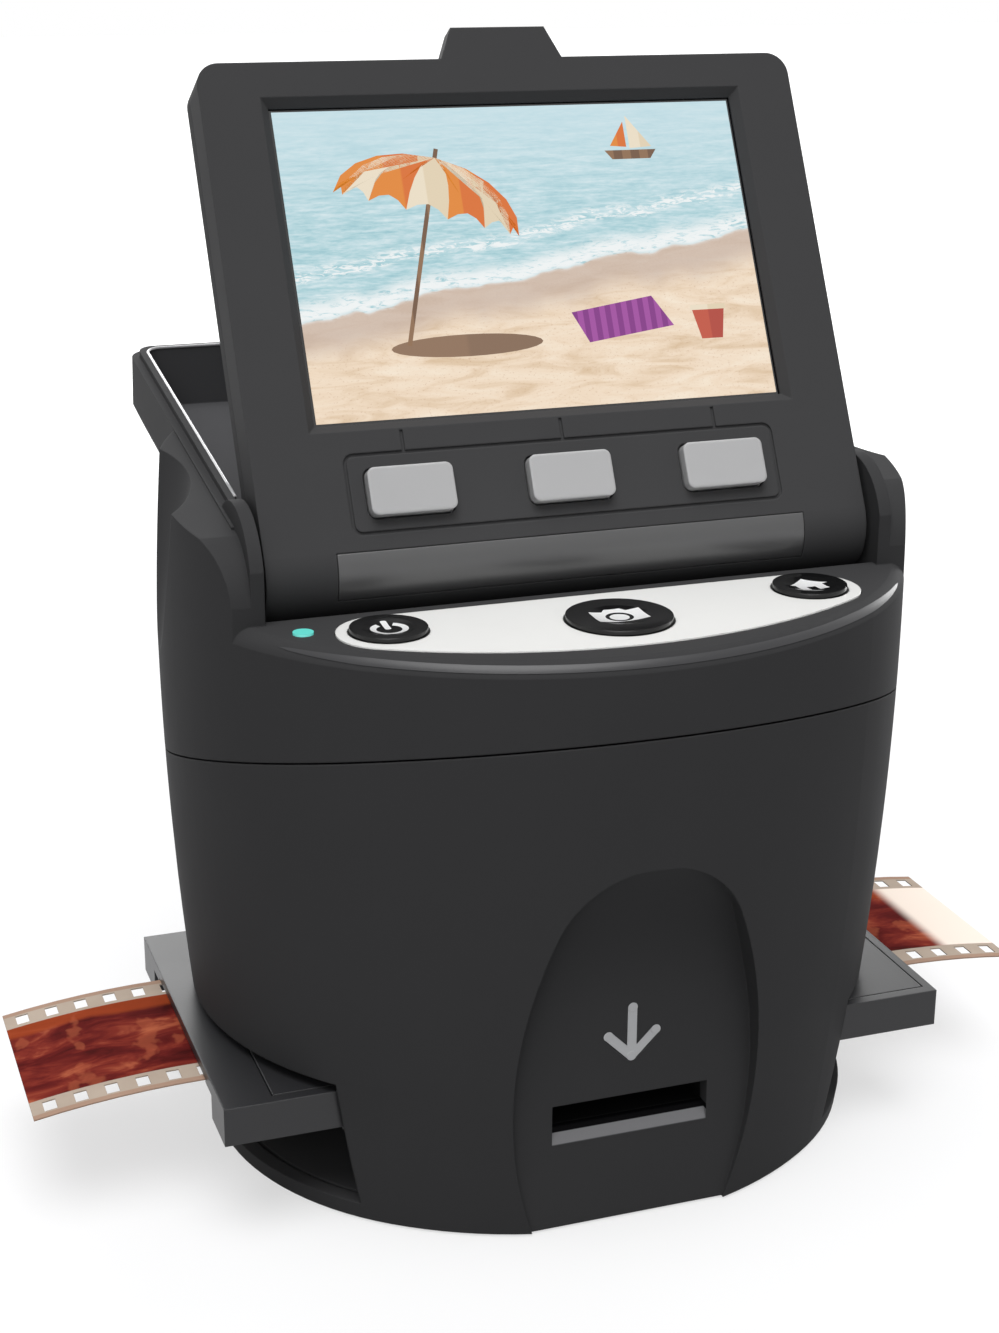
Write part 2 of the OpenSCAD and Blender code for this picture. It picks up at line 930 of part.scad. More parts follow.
// Bevelled picture window: two crossing wedges make its four sloping sides
module picture_window() {
  cx = lcd_w / 2;
  z1 = lcd_z + lcd_h;
  b = 1.3;
  block(-cx, cx, face_y - 1, face_y + 5, lcd_z, z1);
  intersection() {
    translate([0, 0, lcd_z - 10])
      linear_extrude(height = lcd_h + 20)
        polygon([[-cx - 2 * b, face_y - b], [cx + 2 * b, face_y - b], [cx, face_y + b], [-cx, face_y + b]]);
    along_x(60)
      polygon([[face_y - b, lcd_z - 2 * b], [face_y - b, z1 + 2 * b], [face_y + b, z1], [face_y + b, lcd_z]]);
  }
}

// Shallow line around the three keys
module key_groove() {
  gw = key_pitch + 9.43;
  z0 = key_z - 6.06;
  z1 = key_z + 6.16;
  along_y(face_y - 1, face_y + 0.3)
    difference() {
      round_view(-gw, gw, z0, z1, 1.6);
      round_view(-gw + 0.5, gw - 0.5, z0 + 0.5, z1 - 0.5, 1.1);
    }
  for (i = [-1:1])
    block(i * key_pitch - 0.25, i * key_pitch + 0.25, face_y - 1, face_y + 0.3, z1 - 0.1, lcd_z - 1.6);
}

module sweep_x(r0, r1, half, a0, a1) {
  rotate([0, 90, 0])
    rotate([0, 0, a0])
      rotate_extrude(angle = a1 - a0, $fn = 200)
        translate([r0, -half])
          square([r1 - r0, 2 * half]);
}

module lid_bezel() {
  color("#37383c")
    lid_frame()
      difference() {
        union() {
          lid_plate(lid_half_w, lid_len, 3.5, face_y, bezel_back);
          rotate([0, 90, 0])
            cylinder(r = barrel_r, h = 2 * lid_half_w, center = true);
          along_y(face_y, face_y + 3.2)
            polygon([[-10.2, lid_len - 1], [-7.6, lid_len + 5], [7.6, lid_len + 5], [10.2, lid_len - 1]]);
        }
        translate([0, 0, 1.2])
          lid_plate(lid_half_w - 1.8, lid_len - 3, 1.7, face_y + bezel_t, bezel_back + 0.01);
        rotate([0, 90, 0])
          cylinder(r = barrel_r - 3.4, h = 2 * lid_half_w - 19.88, center = true);
        picture_window();
        for (i = [-1:1])
          along_y(face_y - 1, face_y + 4)
            key_view(i, gap);
        key_groove();
        sweep_x(barrel_r - cover_t - gap, barrel_r + 1, cover_half_w + seat, -90, -89 + cover_sweep);
        for (s = [-1, 1])
          translate([s * (lid_half_w - 2.94), 0, 0])
            rotate([0, 90, 0])
              cylinder(r = pin_r + pin_fit, h = 12, center = true);
      }
}

module hinge_cover() {
  color("#3a3b3f")
    lid_frame()
      sweep_x(barrel_r - cover_t, barrel_r, cover_half_w, -89.3, -89.7 + cover_sweep);
}

module lid_back() {
  color("#2c2d30")
    lid_frame()
      difference() {
        lid_plate(lid_half_w, lid_len, 3.5, bezel_back + seat, back_y);
        rotate([0, 90, 0])
          cylinder(r = barrel_r + seat, h = 120, center = true);
        lid_plate(lid_half_w - 1.8, lid_len - 1.8, 1.7, -20, back_y - 1.4);
        lid_screw_posts(0.9, -10, back_y - 1);
      }
}

module lid_screw_posts(r, y0, y1) {
  for (s = [-1, 1])
    for (z = [14, lid_len - 4])
      translate([s * (lid_half_w - 4.44), y0, z])
        rotate([-90, 0, 0])
          cylinder(r = r, h = y1 - y0);
}

module lid_screws() {
  color("#a9adb2")
    lid_frame()
      lid_screw_posts(0.8, face_y + bezel_t + seat, back_y - 1.1);
}

// Sheet of the display, 2 mm larger than its picture all round
module display_layer(y0, t) {
  block(-lcd_w / 2 - 2, lcd_w / 2 + 2, y0, y0 + t, lcd_z - 2, lcd_z + lcd_h + 2);
}

module lcd_glass() {
  color("#0c0e12")
    lid_frame()
      display_layer(face_y + bezel_t + seat, 0.8);
}

module lcd_panel() {
  y0 = face_y + bezel_t + 2 * seat + 0.8;
  color("#7d8186")
    lid_frame()
      display_layer(y0, 2.6);
}

module key_board() {
  color("#2f6b46")
    lid_frame()
      block(-key_pitch - 10, key_pitch + 10, dome_y + 0.6, dome_y + 1.6, key_z - 5.2, key_z + 5.2);
}

module key_domes() {
  color("#c3c6ca")
    lid_frame()
      for (i = [-1:1])
        translate([i * key_pitch, dome_y, key_z])
          rotate([-90, 0, 0])
            cylinder(r = 2.4, h = 0.5);
}

// Key with a keeper flange behind the face
module lid_key(i) {
  color("#b4b6ba")
    lid_frame() {
      along_y(face_y - 1.6, key_back - 0.1)
        key_view(i, 0);
      along_y(key_back - 0.9, key_back)
        key_view(i, 1);
    }
}

module hinge_pins() {
  color("#b9bcc0")
    for (s = [-1, 1])
      translate([s * (lid_half_w - 1.04), hinge_y, hinge_z])
        rotate([0, 90, 0])
          cylinder(r = pin_r, h = 14, center = true);
}

// ---------------------------------------------------------------- film tray

film_z = tray_z + 4.15;
chan_z = tray_z + 3.9;
chan_h = 0.7;
chan_w = film_w / 2 + 0.4;
cover_left = tray_half_l - 7.7;
cover_right = tray_half_l - 1.5;
cover_y = tray_half_d - 1.8;

// Opening the size of one 35 mm frame over the light box
module gate_window() {
  block(-18, 18, tray_y - 12.2, tray_y + 12.2, 0, 40);
}

module tray_base() {
  color("#4a4a50")
    difference() {
      block(-tray_half_l, tray_half_l, tray_lo, tray_hi, tray_z, tray_z + tray_t);
      block(-70, 70, tray_y - chan_w, tray_y + chan_w, chan_z, chan_z + chan_h);
      block(-cover_left, cover_right, tray_y - cover_y, tray_y + cover_y, chan_z + chan_h, 40);
      gate_window();
      for (s = [-1, 1])
        block(s * tray_half_l - 5, s * tray_half_l + 5, tray_y - 22, tray_y + 22, 0, chan_z + 0.1);
    }
}

module tray_cover() {
  z0 = chan_z + chan_h + 0.05;
  half_d = cover_y - 0.2;
  color("#4d4d53")
    difference() {
      block(0.2 - cover_left, cover_right - 0.2, tray_y - half_d, tray_y + half_d, z0, tray_z + tray_t);
      gate_window();
    }
}

// Film whose ends sag on a long arc outside the tray
module film_strip() {
  sag_r = 150;
  len = 2 * tray_half_l + film_left + film_right;
  count = floor(len / sprocket_pitch);
  hole_y = film_w / 2 - 3;
  color("#8a3f24")
    difference() {
      union() {
        block(-tray_half_l, tray_half_l, tray_y - film_w / 2, tray_y + film_w / 2, film_z, film_z + film_t);
        for (s = [0, 1])
          mirror([s, 0, 0])
            intersection() {
              translate([tray_half_l, tray_y + film_w / 2, film_z + film_t - sag_r])
                rotate([90, 0, 0])
                  difference() {
                    cylinder(r = sag_r, h = film_w, $fn = 400);
                    translate([0, 0, -1])
                      cylinder(r = sag_r - film_t, h = film_w + 2, $fn = 400);
                  }
              block(tray_half_l, tray_half_l + [film_right, film_left][s], -60, 60, film_z - 20, film_z + 1);
            }
      }
      for (i = [0:count - 1])
        for (s = [-1, 1])
          translate([sprocket_pitch * (i + 0.6) - tray_half_l - film_left, tray_y + s * hole_y, film_z])
            cube([1.98, 2.8, 20], center = true);
    }
}

// ---------------------------------------------------------------- nodes

base_plate();
rubber_feet();
base_screws();
lower_shell();
top_shell();
control_fascia();
led_window();
status_led();
slot_arrow();
card_socket();
optic_chassis();
light_box();
backlight_board();
backlight_leds();
diffuser();
optic_column();
column_screws();
lens_barrel();
lens_elements();
sensor_board();
image_sensor();
main_board();
board_screws();
main_chips();
hdmi_socket();
usb_socket();
control_board();
deck_switches();
power_button();
capture_button();
home_button();
hinge_pins();
lid_bezel();
lid_back();
lid_screws();
hinge_cover();
lcd_glass();
lcd_panel();
key_board();
key_domes();
lid_key(-1);  // left_key
lid_key(0);  // middle_key
lid_key(1);  // right_key
tray_base();
tray_cover();
film_strip();
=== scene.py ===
"""Looks of the film negative scanner: materials, printed icons, display picture, film pictures, light and camera."""
import math

import bmesh
import bpy
from mathutils import Matrix, Vector
from mathutils.bvhtree import BVHTree


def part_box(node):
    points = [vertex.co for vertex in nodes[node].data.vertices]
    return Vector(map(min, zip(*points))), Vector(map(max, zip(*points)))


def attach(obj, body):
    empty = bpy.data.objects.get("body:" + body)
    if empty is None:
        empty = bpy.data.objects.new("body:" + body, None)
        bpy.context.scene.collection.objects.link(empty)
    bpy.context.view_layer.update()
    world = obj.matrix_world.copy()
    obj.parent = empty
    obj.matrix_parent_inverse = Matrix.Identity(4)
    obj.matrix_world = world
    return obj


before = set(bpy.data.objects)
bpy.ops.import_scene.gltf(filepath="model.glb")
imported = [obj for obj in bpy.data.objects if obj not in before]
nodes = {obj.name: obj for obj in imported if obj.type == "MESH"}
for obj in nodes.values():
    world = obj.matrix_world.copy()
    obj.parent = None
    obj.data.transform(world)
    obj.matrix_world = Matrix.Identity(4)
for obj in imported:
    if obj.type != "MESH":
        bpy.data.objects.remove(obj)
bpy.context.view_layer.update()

MM = 0.001
# The lid's own frame at rest: origin on the hinge axis, z up along the lid, front face towards -y
HINGE = Vector((0, -12.6, 98.4)) * MM
LEAN = math.radians(27.9)
LID = Matrix.Translation(HINGE) @ Matrix.Rotation(-LEAN, 4, "X")
# The display well's frame: the same origin, its floor and rim rising to the rear
SLOPE = math.radians(8.4)
WELL = Matrix.Translation(HINGE) @ Matrix.Rotation(SLOPE, 4, "X")
WELL_GAP = 0.56
WELL_HALF_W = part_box("lid_bezel")[1][0] / MM + WELL_GAP
WELL_LEN, WELL_R, RIM_H = 75.9, 2.5, 8.5
# The well's painted light: lowest and highest point and front edge (m), and how far it runs past the walls (mm)
WELL_LIGHT_LOW, WELL_LIGHT_TOP, WELL_LIGHT_FRONT, WELL_LIGHT_OVER = -0.003, 0.0083, 0.007, 0.3
# The card slot (m): half width, mouth, depth reached, and heights of the lip's foot, its top (the lip gets a painted
# highlight) and the top of the black painted shade above it
SLOT_HALF_W, SLOT_MOUTH, SLOT_BACK = 0.0127, -0.04505, -0.038
LIP_FOOT, LIP_TOP, LIP_BLACK = 0.0144, 0.0162, 0.0171
# The deck (mm): height and radius of its front edge, tops of its buttons, depth of their dishes, thickness of ink
DECK_Z, DECK_R = 93.4, 3.0
BTN_TOP, DISH, INK_LIFT = 94.3, 0.45, 0.03
# Centre and radius of each deck button (mm)
BUTTONS = {
    "power_button": (-33.0, -31.2, 5.6),
    "capture_button": (0.0, -36.4, 7.8),
    "home_button": (33.0, -31.2, 5.6),
}
# Middles of the rounded ends of the arrow above the card slot: x and z (mm)
ARROW_ENDS = [(0, 35.7), (0, 27.6), (-3.818, 31.418), (3.818, 31.418)]
# The film (mm): pitch of its pictures, shift that centres one at the lens, half width and half height of a picture,
# how far its middle lies in front of y = 0, where the clear last piece starts, and where the lines at its edges run
FRAME_PITCH, FRAME_SHIFT, FRAME_HALF_W, FRAME_HALF_H = 38, 209.0, 18.0, 12.2
FILM_MIDDLE, CLEAR_FROM, EDGE_LINE = 1.5, 71.5, 16.3
# The lit picture of the display (mm): size, height of its lower edge and front of the glass in the lid's frame
PIC_W, PIC_H, PIC_Z = 75.0, 48.9, 19.23
GLASS_Y, PIC_LIFT = -6.3, 0.06
ASPECT = PIC_W / PIC_H
# Brightness of the world near the horizon and overhead, and of the floor to the camera
WORLD_LOW, WORLD_HIGH = 0.10, 0.55
FLOOR_GLOW = 0.6
# Inputs and output of a colour mix node, and inputs of a map range node
MIX_FACTOR, MIX_A, MIX_B, MIX_RESULT = 0, 6, 7, 2
RANGE_VALUE, FROM_MIN, FROM_MAX, TO_MIN, TO_MAX = range(5)


def srgb(*c):
    """Linear colour from 0-255 screen values."""
    lin = [v / 255 / 12.92 if v <= 10.31 else ((v / 255 + 0.055) / 1.055) ** 2.4 for v in c]
    return (lin[0], lin[1], lin[2], 1.0)


def scaled(color, by, plus=0.0):
    """The same colour made darker or lighter."""
    return tuple(min(1, v * by + plus) for v in color[:3]) + (1,)


def add_object(name, data):
    o = bpy.data.objects.new(name, data)
    bpy.context.scene.collection.objects.link(o)
    return o


# ---------------------------------------------------------------- material nodes


class Mat:
    """A node material with short helpers. Positions are in metres in the row frame."""

    def __init__(self, name):
        self.m = bpy.data.materials.new(name)
        self.m.use_nodes = True
        self.t = self.m.node_tree
        self.p = self.t.nodes["Principled BSDF"]
        self.pos = self.new("ShaderNodeTexCoord").outputs["Object"]

    def new(self, kind, **props):
        n = self.t.nodes.new(kind)
        for k, v in props.items():
            setattr(n, k, v)
        return n

    def put(self, socket, value):
        if hasattr(value, "is_output"):
            self.t.links.new(value, socket)
        else:
            socket.default_value = value

    def math(self, op, a, b=0.0):
        n = self.new("ShaderNodeMath", operation=op)
        for s, v in zip(n.inputs, (a, b)):
            self.put(s, v)
        return n.outputs[0]

    def mix(self, fac, a, b):
        n = self.new("ShaderNodeMix", data_type="RGBA")
        self.put(n.inputs[MIX_FACTOR], fac)
        self.put(n.inputs[MIX_A], a)
        self.put(n.inputs[MIX_B], b)
        return n.outputs[MIX_RESULT]

    def ramp(self, fac, stops):
        n = self.new("ShaderNodeValToRGB")
        e = n.color_ramp.elements
        while len(e) < len(stops):
            e.new(0.5)
        for i, (at, col) in enumerate(stops):
            e[i].position = at
            e[i].color = col
        self.put(n.inputs[0], fac)
        return n.outputs[0]

    def step(self, value, edge, soft=0.0):
        """0 below edge, 1 above it."""
        n = self.new("ShaderNodeMapRange", clamp=True, interpolation_type="SMOOTHSTEP")
        self.put(n.inputs[RANGE_VALUE], value)
        self.put(n.inputs[FROM_MIN], edge - soft - 1e-6)
        self.put(n.inputs[FROM_MAX], edge + soft + 1e-6)
        return n.outputs[0]

    def xyz(self):
        n = self.new("ShaderNodeSeparateXYZ")
        self.put(n.inputs[0], self.pos)
        return n.outputs

    def stretch(self, x, y, z):
        n = self.new("ShaderNodeMapping")
        self.put(n.inputs["Vector"], self.pos)
        n.inputs["Scale"].default_value = (x, y, z)
        return n.outputs[0]

    def noise(self, scale, detail=3.0, rough=0.55, vector=None, distort=0.0):
        n = self.new("ShaderNodeTexNoise")
        self.put(n.inputs["Vector"], vector or self.pos)
        n.inputs["Scale"].default_value = scale
        n.inputs["Detail"].default_value = detail
        n.inputs["Roughness"].default_value = rough
        n.inputs["Distortion"].default_value = distort
        return n.outputs[0]

    def edge(self, radius):
        """Normal rounded at edges, and a mask that is 1 on the edges themselves."""
        b = self.new("ShaderNodeBevel", samples=4)
        b.inputs["Radius"].default_value = radius
        g = self.new("ShaderNodeNewGeometry")
        d = self.new("ShaderNodeVectorMath", operation="DOT_PRODUCT")
        self.put(d.inputs[0], b.outputs[0])
        self.put(d.inputs[1], g.outputs["True Normal"])
        return b.outputs[0], self.step(self.math("SUBTRACT", 1.0, d.outputs["Value"]), 0.1, 0.09)

    def bump(self, height, distance, strength, normal=None):
        n = self.new("ShaderNodeBump")
        n.inputs["Strength"].default_value = strength
        n.inputs["Distance"].default_value = distance
        self.put(n.inputs["Height"], height)
        if normal:
            self.put(n.inputs["Normal"], normal)
        return n.outputs[0]

    def finish(self, color, rough, normal=None, **fixed):
        self.put(self.p.inputs["Base Color"], color)
        self.put(self.p.inputs["Roughness"], rough)
        if normal:
            self.put(self.p.inputs["Normal"], normal)
        for k, v in fixed.items():
            self.p.inputs[k.replace("_", " ")].default_value = v
        return self.m


def moulded(name, rgb, rough, grain=0.012, spec=0.35, edge=0.35, coat=0.0, radius=0.35, paint=None):
    """Injection-moulded plastic: spark-eroded grain, cloudy sheen, and edges made a little lighter, partly as rubbed
    wear and partly as a painted highlight.
    """
    m = Mat(name)
    base = srgb(*rgb)
    cloud = m.noise(28, 4, 0.6)
    color = m.mix(m.math("MULTIPLY", cloud, 0.5), base, scaled(base, 0.78))
    normal, rim = m.edge(radius * MM)
    # Lighter edges: partly rubbed wear, partly a painted highlight along the edges
    color = m.mix(m.math("MULTIPLY", rim, edge), color, scaled(base, 1.5, 0.012))
    if paint:
        color = paint(m, color)
    fine = m.noise(3800, 2, 0.6)
    r = m.math("ADD", rough - 0.05, m.math("MULTIPLY", m.noise(60, 3), 0.1))
    n = m.bump(fine, grain * MM, 0.6, normal)
    return m.finish(color, r, n, Specular_IOR_Level=spec, Coat_Weight=coat, Coat_Roughness=0.08)


def brushed(name, rgb, rough=0.3, along=(1, 1, 40), radius=0.15):
    """Metal with fine lines across the axis that has the largest factor."""
    m = Mat(name)
    lines = m.noise(900, 2, 0.5, m.stretch(*along))
    normal, _ = m.edge(radius * MM)
    base = srgb(*rgb)
    color = m.mix(lines, scaled(base, 0.8), base)
    r = m.math("ADD", rough - 0.08, m.math("MULTIPLY", lines, 0.16))
    return m.finish(color, r, m.bump(lines, 0.01 * MM, 0.4, normal), Metallic=1.0)


def circuit(name, rgb, track):
    """Circuit board: solder mask with tracks under it and pads."""
    m = Mat(name)
    v = m.new("ShaderNodeTexVoronoi", distance="MANHATTAN")
    m.put(v.inputs["Vector"], m.pos)
    v.inputs["Scale"].default_value = 420
    cells = m.step(v.outputs["Distance"], 0.42, 0.03)
    stain = (0.01, 0.03, 0.015, 1)
    color = m.mix(m.math("MULTIPLY", cells, 0.6), srgb(*rgb), srgb(*track))
    color = m.mix(m.math("MULTIPLY", m.noise(50), 0.25), color, stain)
    return m.finish(color, 0.32, m.bump(cells, 0.03 * MM, 0.5), Coat_Weight=0.3)


def glow(name, rgb, strength, core):
    """Lit lens, brighter in the middle than at its rim."""
    m = Mat(name)
    w = m.new("ShaderNodeLayerWeight")
    w.inputs["Blend"].default_value = 0.35
    mottle = m.math("ADD", 0.85, m.math("MULTIPLY", m.noise(900), 0.3))
    col = m.mix(w.outputs["Facing"], srgb(*core), srgb(*rgb))
    m.put(m.p.inputs["Emission Color"], col)
    m.put(m.p.inputs["Emission Strength"], m.math("MULTIPLY", mottle, strength))
    return m.finish(col, 0.2)


def within(m, value, low, high):
    """1 between low and high, in metres."""
    return m.math("SUBTRACT", m.step(value, low, 5e-5), m.step(value, high, 5e-5))


def slot_lip_painted_light(m, color):
    """The slanting lip under the card slot: coloured light grey as a painted highlight on its face, and black above
    it as painted shade inside the slot.
    """
    x, y, z = m.xyz()
    near = m.math("MULTIPLY", within(m, x, -SLOT_HALF_W, SLOT_HALF_W), within(m, y, SLOT_MOUTH, SLOT_BACK))
    # Painted highlight: the lip's face is coloured light grey
    color = m.mix(m.math("MULTIPLY", near, within(m, z, LIP_FOOT, LIP_TOP)), color, srgb(120, 120, 122))
    # Painted shade: the slot's mouth above the lip is coloured near black
    return m.mix(m.math("MULTIPLY", near, within(m, z, LIP_TOP, LIP_BLACK)), color, srgb(6, 6, 7))


def well_painted_light(m, color):
    """Painted light: the inside of the display well is coloured a lighter grey, standing in for the light that the
    lid's shade keeps from it.
    """
    x, y, z = m.xyz()
    y = m.math("SUBTRACT", y, HINGE.y)
    z = m.math("SUBTRACT", z, HINGE.z)
    up = m.math("SUBTRACT", m.math("MULTIPLY", z, math.cos(SLOPE)), m.math("MULTIPLY", y, math.sin(SLOPE)))
    wide = (WELL_HALF_W + WELL_LIGHT_OVER) * MM
    mask = m.math("MULTIPLY", within(m, x, -wide, wide), within(m, up, WELL_LIGHT_LOW, WELL_LIGHT_TOP))
    mask = m.math("MULTIPLY", mask, within(m, y, WELL_LIGHT_FRONT, (WELL_LEN + WELL_LIGHT_OVER) * MM))
    # The lighter, mottled grey inside the well is painted light, not a different plastic
    return m.mix(mask, color, m.mix(m.noise(40, 3), srgb(76, 76, 78), srgb(84, 84, 86)))


HOUSING = (61, 61, 62)
shell = moulded("shell_plastic", HOUSING, 0.62, spec=0.03)
lower = moulded("lower_shell_plastic", HOUSING, 0.62, spec=0.03, paint=slot_lip_painted_light)
upper = moulded("top_shell_plastic", HOUSING, 0.62, spec=0.03, paint=well_painted_light)
deck_satin = moulded("deck_edge_satin", (50, 50, 52), 0.34, grain=0.002, spec=0.4, edge=0.0)
# Light grey that paints a highlight on the bars along the well's rims, under a glossy coat
rim_painted_highlight = moulded("rim_painted_highlight", (160, 160, 162), 0.2, grain=0.002, spec=0.6, coat=0.5, radius=0.1)
lid_face = moulded("lid_plastic", (68, 68, 69), 0.55, grain=0.008, spec=0.02)
cover = moulded("hinge_cover_plastic", (58, 58, 59), 0.36, grain=0.0, spec=1.0)
tray = moulded("tray_plastic", (42, 42, 44), 0.36, spec=0.4)
inner = moulded("chassis_plastic", (40, 40, 42), 0.55)
optic = moulded("light_trap_plastic", (20, 20, 21), 0.8, grain=0.03, spec=0.15)
white_box = moulded("light_box_plastic", (222, 222, 220), 0.5, edge=0.1)
diffuser = moulded("diffuser_plastic", (244, 245, 246), 0.4, edge=0.05)
fascia = moulded("fascia_plastic", (250, 250, 248), 0.22, grain=0.002, spec=0.5, edge=0.0, coat=0.4)
button = moulded("button_plastic", (8, 8, 9), 0.12, grain=0.001, spec=0.25, edge=0.3, coat=0.2, radius=0.5)
rubber = moulded("foot_rubber_grain", (24, 24, 25), 0.85, grain=0.03, spec=0.2)
chip = moulded("chip_epoxy", (26, 27, 30), 0.6, edge=0.2)
silver_print = moulded("silver_paint", (190, 191, 193), 0.4, grain=0.004, edge=0.2, radius=0.06)
key = moulded("key_lacquer", (176, 176, 177), 0.36, grain=0.006, spec=0.45, edge=0.6, radius=0.6)
socket_dark = moulded("card_socket_plastic", (8, 8, 9), 0.7, grain=0.01, spec=0.1, edge=0.2)
steel = brushed("screw_steel_turned", (186, 188, 192))
sheet_metal = brushed("socket_plating", (196, 197, 199), 0.28, (1, 30, 1))
panel = brushed("panel_frame", (150, 152, 156), 0.4, (30, 1, 1))
board = circuit("board_mask", (24, 92, 52), (60, 134, 78))
white_board = circuit("led_board_mask", (226, 226, 218), (206, 200, 176))
led = glow("led_lens_lit", (40, 150, 140), 0.55, (120, 220, 210))
phosphor = glow("led_phosphor", (236, 214, 110), 0.3, (250, 240, 180))


def lens_glass():
    """Coated lens glass: bluish in the middle, violet at a slant."""
    m = Mat("lens_coated_glass")
    w = m.new("ShaderNodeLayerWeight")
    w.inputs["Blend"].default_value = 0.5
    col = m.mix(w.outputs["Facing"], srgb(214, 226, 240), srgb(120, 90, 170))
    haze = m.math("MULTIPLY", m.noise(200), 0.03)
    return m.finish(col, haze, Transmission_Weight=0.9, IOR=1.52, Coat_Weight=0.5)


def display_glass():
    """Black border of the display's cover glass, with faint dust."""
    m = Mat("display_glass")
    dust = m.step(m.noise(2600, 1), 0.74, 0.02)
    col = m.mix(m.math("MULTIPLY", dust, 0.15), srgb(9, 10, 13), srgb(120, 120, 120))
    return m.finish(col, m.math("ADD", 0.06, m.math("MULTIPLY", dust, 0.2)), Coat_Weight=0.6)


def film():
    """Colour negative: tan edges, dark red-brown pictures with soft shapes, and a clear last piece on the right."""
    m = Mat("film_negative")
    x, y, _ = m.xyz()
    mm_x = m.math("MULTIPLY", x, 1000)
    mm_y = m.math("ADD", m.math("MULTIPLY", y, 1000), FILM_MIDDLE)
    inside_y = m.math("SUBTRACT", 1.0, m.step(m.math("ABSOLUTE", mm_y), FRAME_HALF_H, 0.1))
    phase = m.math("FRACT", m.math("DIVIDE", m.math("ADD", mm_x, FRAME_SHIFT), FRAME_PITCH))
    from_mid = m.math("MULTIPLY", m.math("ABSOLUTE", m.math("SUBTRACT", phase, 0.5)), FRAME_PITCH)
    inside_x = m.math("SUBTRACT", 1.0, m.step(from_mid, FRAME_HALF_W, 0.1))
    picture = m.math("MULTIPLY", inside_x, inside_y)
    clear = m.step(mm_x, CLEAR_FROM, 1.6)
    hills = m.noise(90, 4, 0.6, m.stretch(1, 2.2, 1), 0.6)
    body = m.ramp(hills, [(0.30, srgb(58, 14, 14)), (0.46, srgb(92, 26, 24)),
                          (0.58, srgb(120, 44, 34)), (0.74, srgb(176, 96, 66))])
    horizon = m.step(m.math("ADD", mm_y, m.math("MULTIPLY", m.noise(60), 5)), 11.4, 0.8)
    body = m.mix(m.math("MULTIPLY", horizon, 0.8), body, srgb(146, 62, 30))
    dune = m.noise(160, 3, 0.5, m.stretch(1.2, 0.8, 1))
    body = m.mix(m.math("MULTIPLY", m.step(dune, 0.62, 0.03), 0.4), body, srgb(168, 88, 60))
    edge_col = m.mix(m.noise(120), srgb(158, 142, 128), srgb(184, 170, 156))
    line = m.math("MULTIPLY", m.step(m.math("ABSOLUTE", mm_y), EDGE_LINE, 0.1), 0.5)
    edge_col = m.mix(line, edge_col, srgb(150, 104, 78))
    col = m.mix(picture, edge_col, body)
    col = m.mix(m.math("MULTIPLY", clear, picture), col, srgb(240, 226, 214))
    scratch = m.noise(1400, 2, 0.5, m.stretch(0.02, 1, 1))
    n = m.bump(scratch, 0.01 * MM, 0.3)
    return m.finish(col, m.math("ADD", 0.7, m.math("MULTIPLY", scratch, 0.2)), n, Specular_IOR_Level=0.02)


LOOKS = {
    shell: ["base_plate", "lid_back"],
    lower: ["lower_shell"],
    upper: ["top_shell"],
    lid_face: ["lid_bezel"],
    cover: ["hinge_cover"],
    tray: ["tray_base", "tray_cover"],
    inner: ["optic_chassis"],
    optic: ["optic_column", "lens_barrel"],
    white_box: ["light_box"],
    diffuser: ["diffuser"],
    fascia: ["control_fascia"],
    button: ["power_button", "capture_button", "home_button"],
    rubber: ["rubber_feet"],
    chip: ["main_chips", "image_sensor"],
    silver_print: ["slot_arrow"],
    key: ["left_key", "middle_key", "right_key"],
    steel: ["base_screws", "column_screws", "board_screws", "lid_screws", "hinge_pins"],
    socket_dark: ["card_socket"],
    sheet_metal: ["hdmi_socket", "usb_socket", "deck_switches", "key_domes"],
    panel: ["lcd_panel"],
    board: ["sensor_board", "main_board", "control_board", "key_board"],
    white_board: ["backlight_board"],
    led: ["led_window", "status_led"],
    phosphor: ["backlight_leds"],
    lens_glass(): ["lens_elements"],
    display_glass(): ["lcd_glass"],
    film(): ["film_strip"],
}
for mat, names in LOOKS.items():
    for name in names:
        for s in nodes[name].material_slots:
            s.material = mat

# ---------------------------------------------------------------- mesh pieces


def mesh_piece(name, verts, faces, mat, body, uvs=None):
    """Smooth mesh in metres that rides on a body and shows a slot's material."""
    me = bpy.data.meshes.new(name)
    me.from_pydata([tuple(v) for v in verts], [], faces)
    me.validate()
    me.materials.append(mat)
    if uvs:
        layer = me.uv_layers.new(name="UVMap")
        for loop in me.loops:
            layer.data[loop.index].uv = uvs[loop.vertex_index]
    for f in me.polygons:
        f.use_smooth = True
    o = add_object(name, me)
    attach(o, body)
    return o


def grid(nu, nv):
    """Points from 0 to 1 along both axes, row by row, and the quads between them."""
    points = [(i / nu, j / nv) for j in range(nv + 1) for i in range(nu + 1)]
    corners = [j * (nu + 1) + i for j in range(nv) for i in range(nu)]
    return points, [(a, a + 1, a + nu + 2, a + nu + 1) for a in corners]


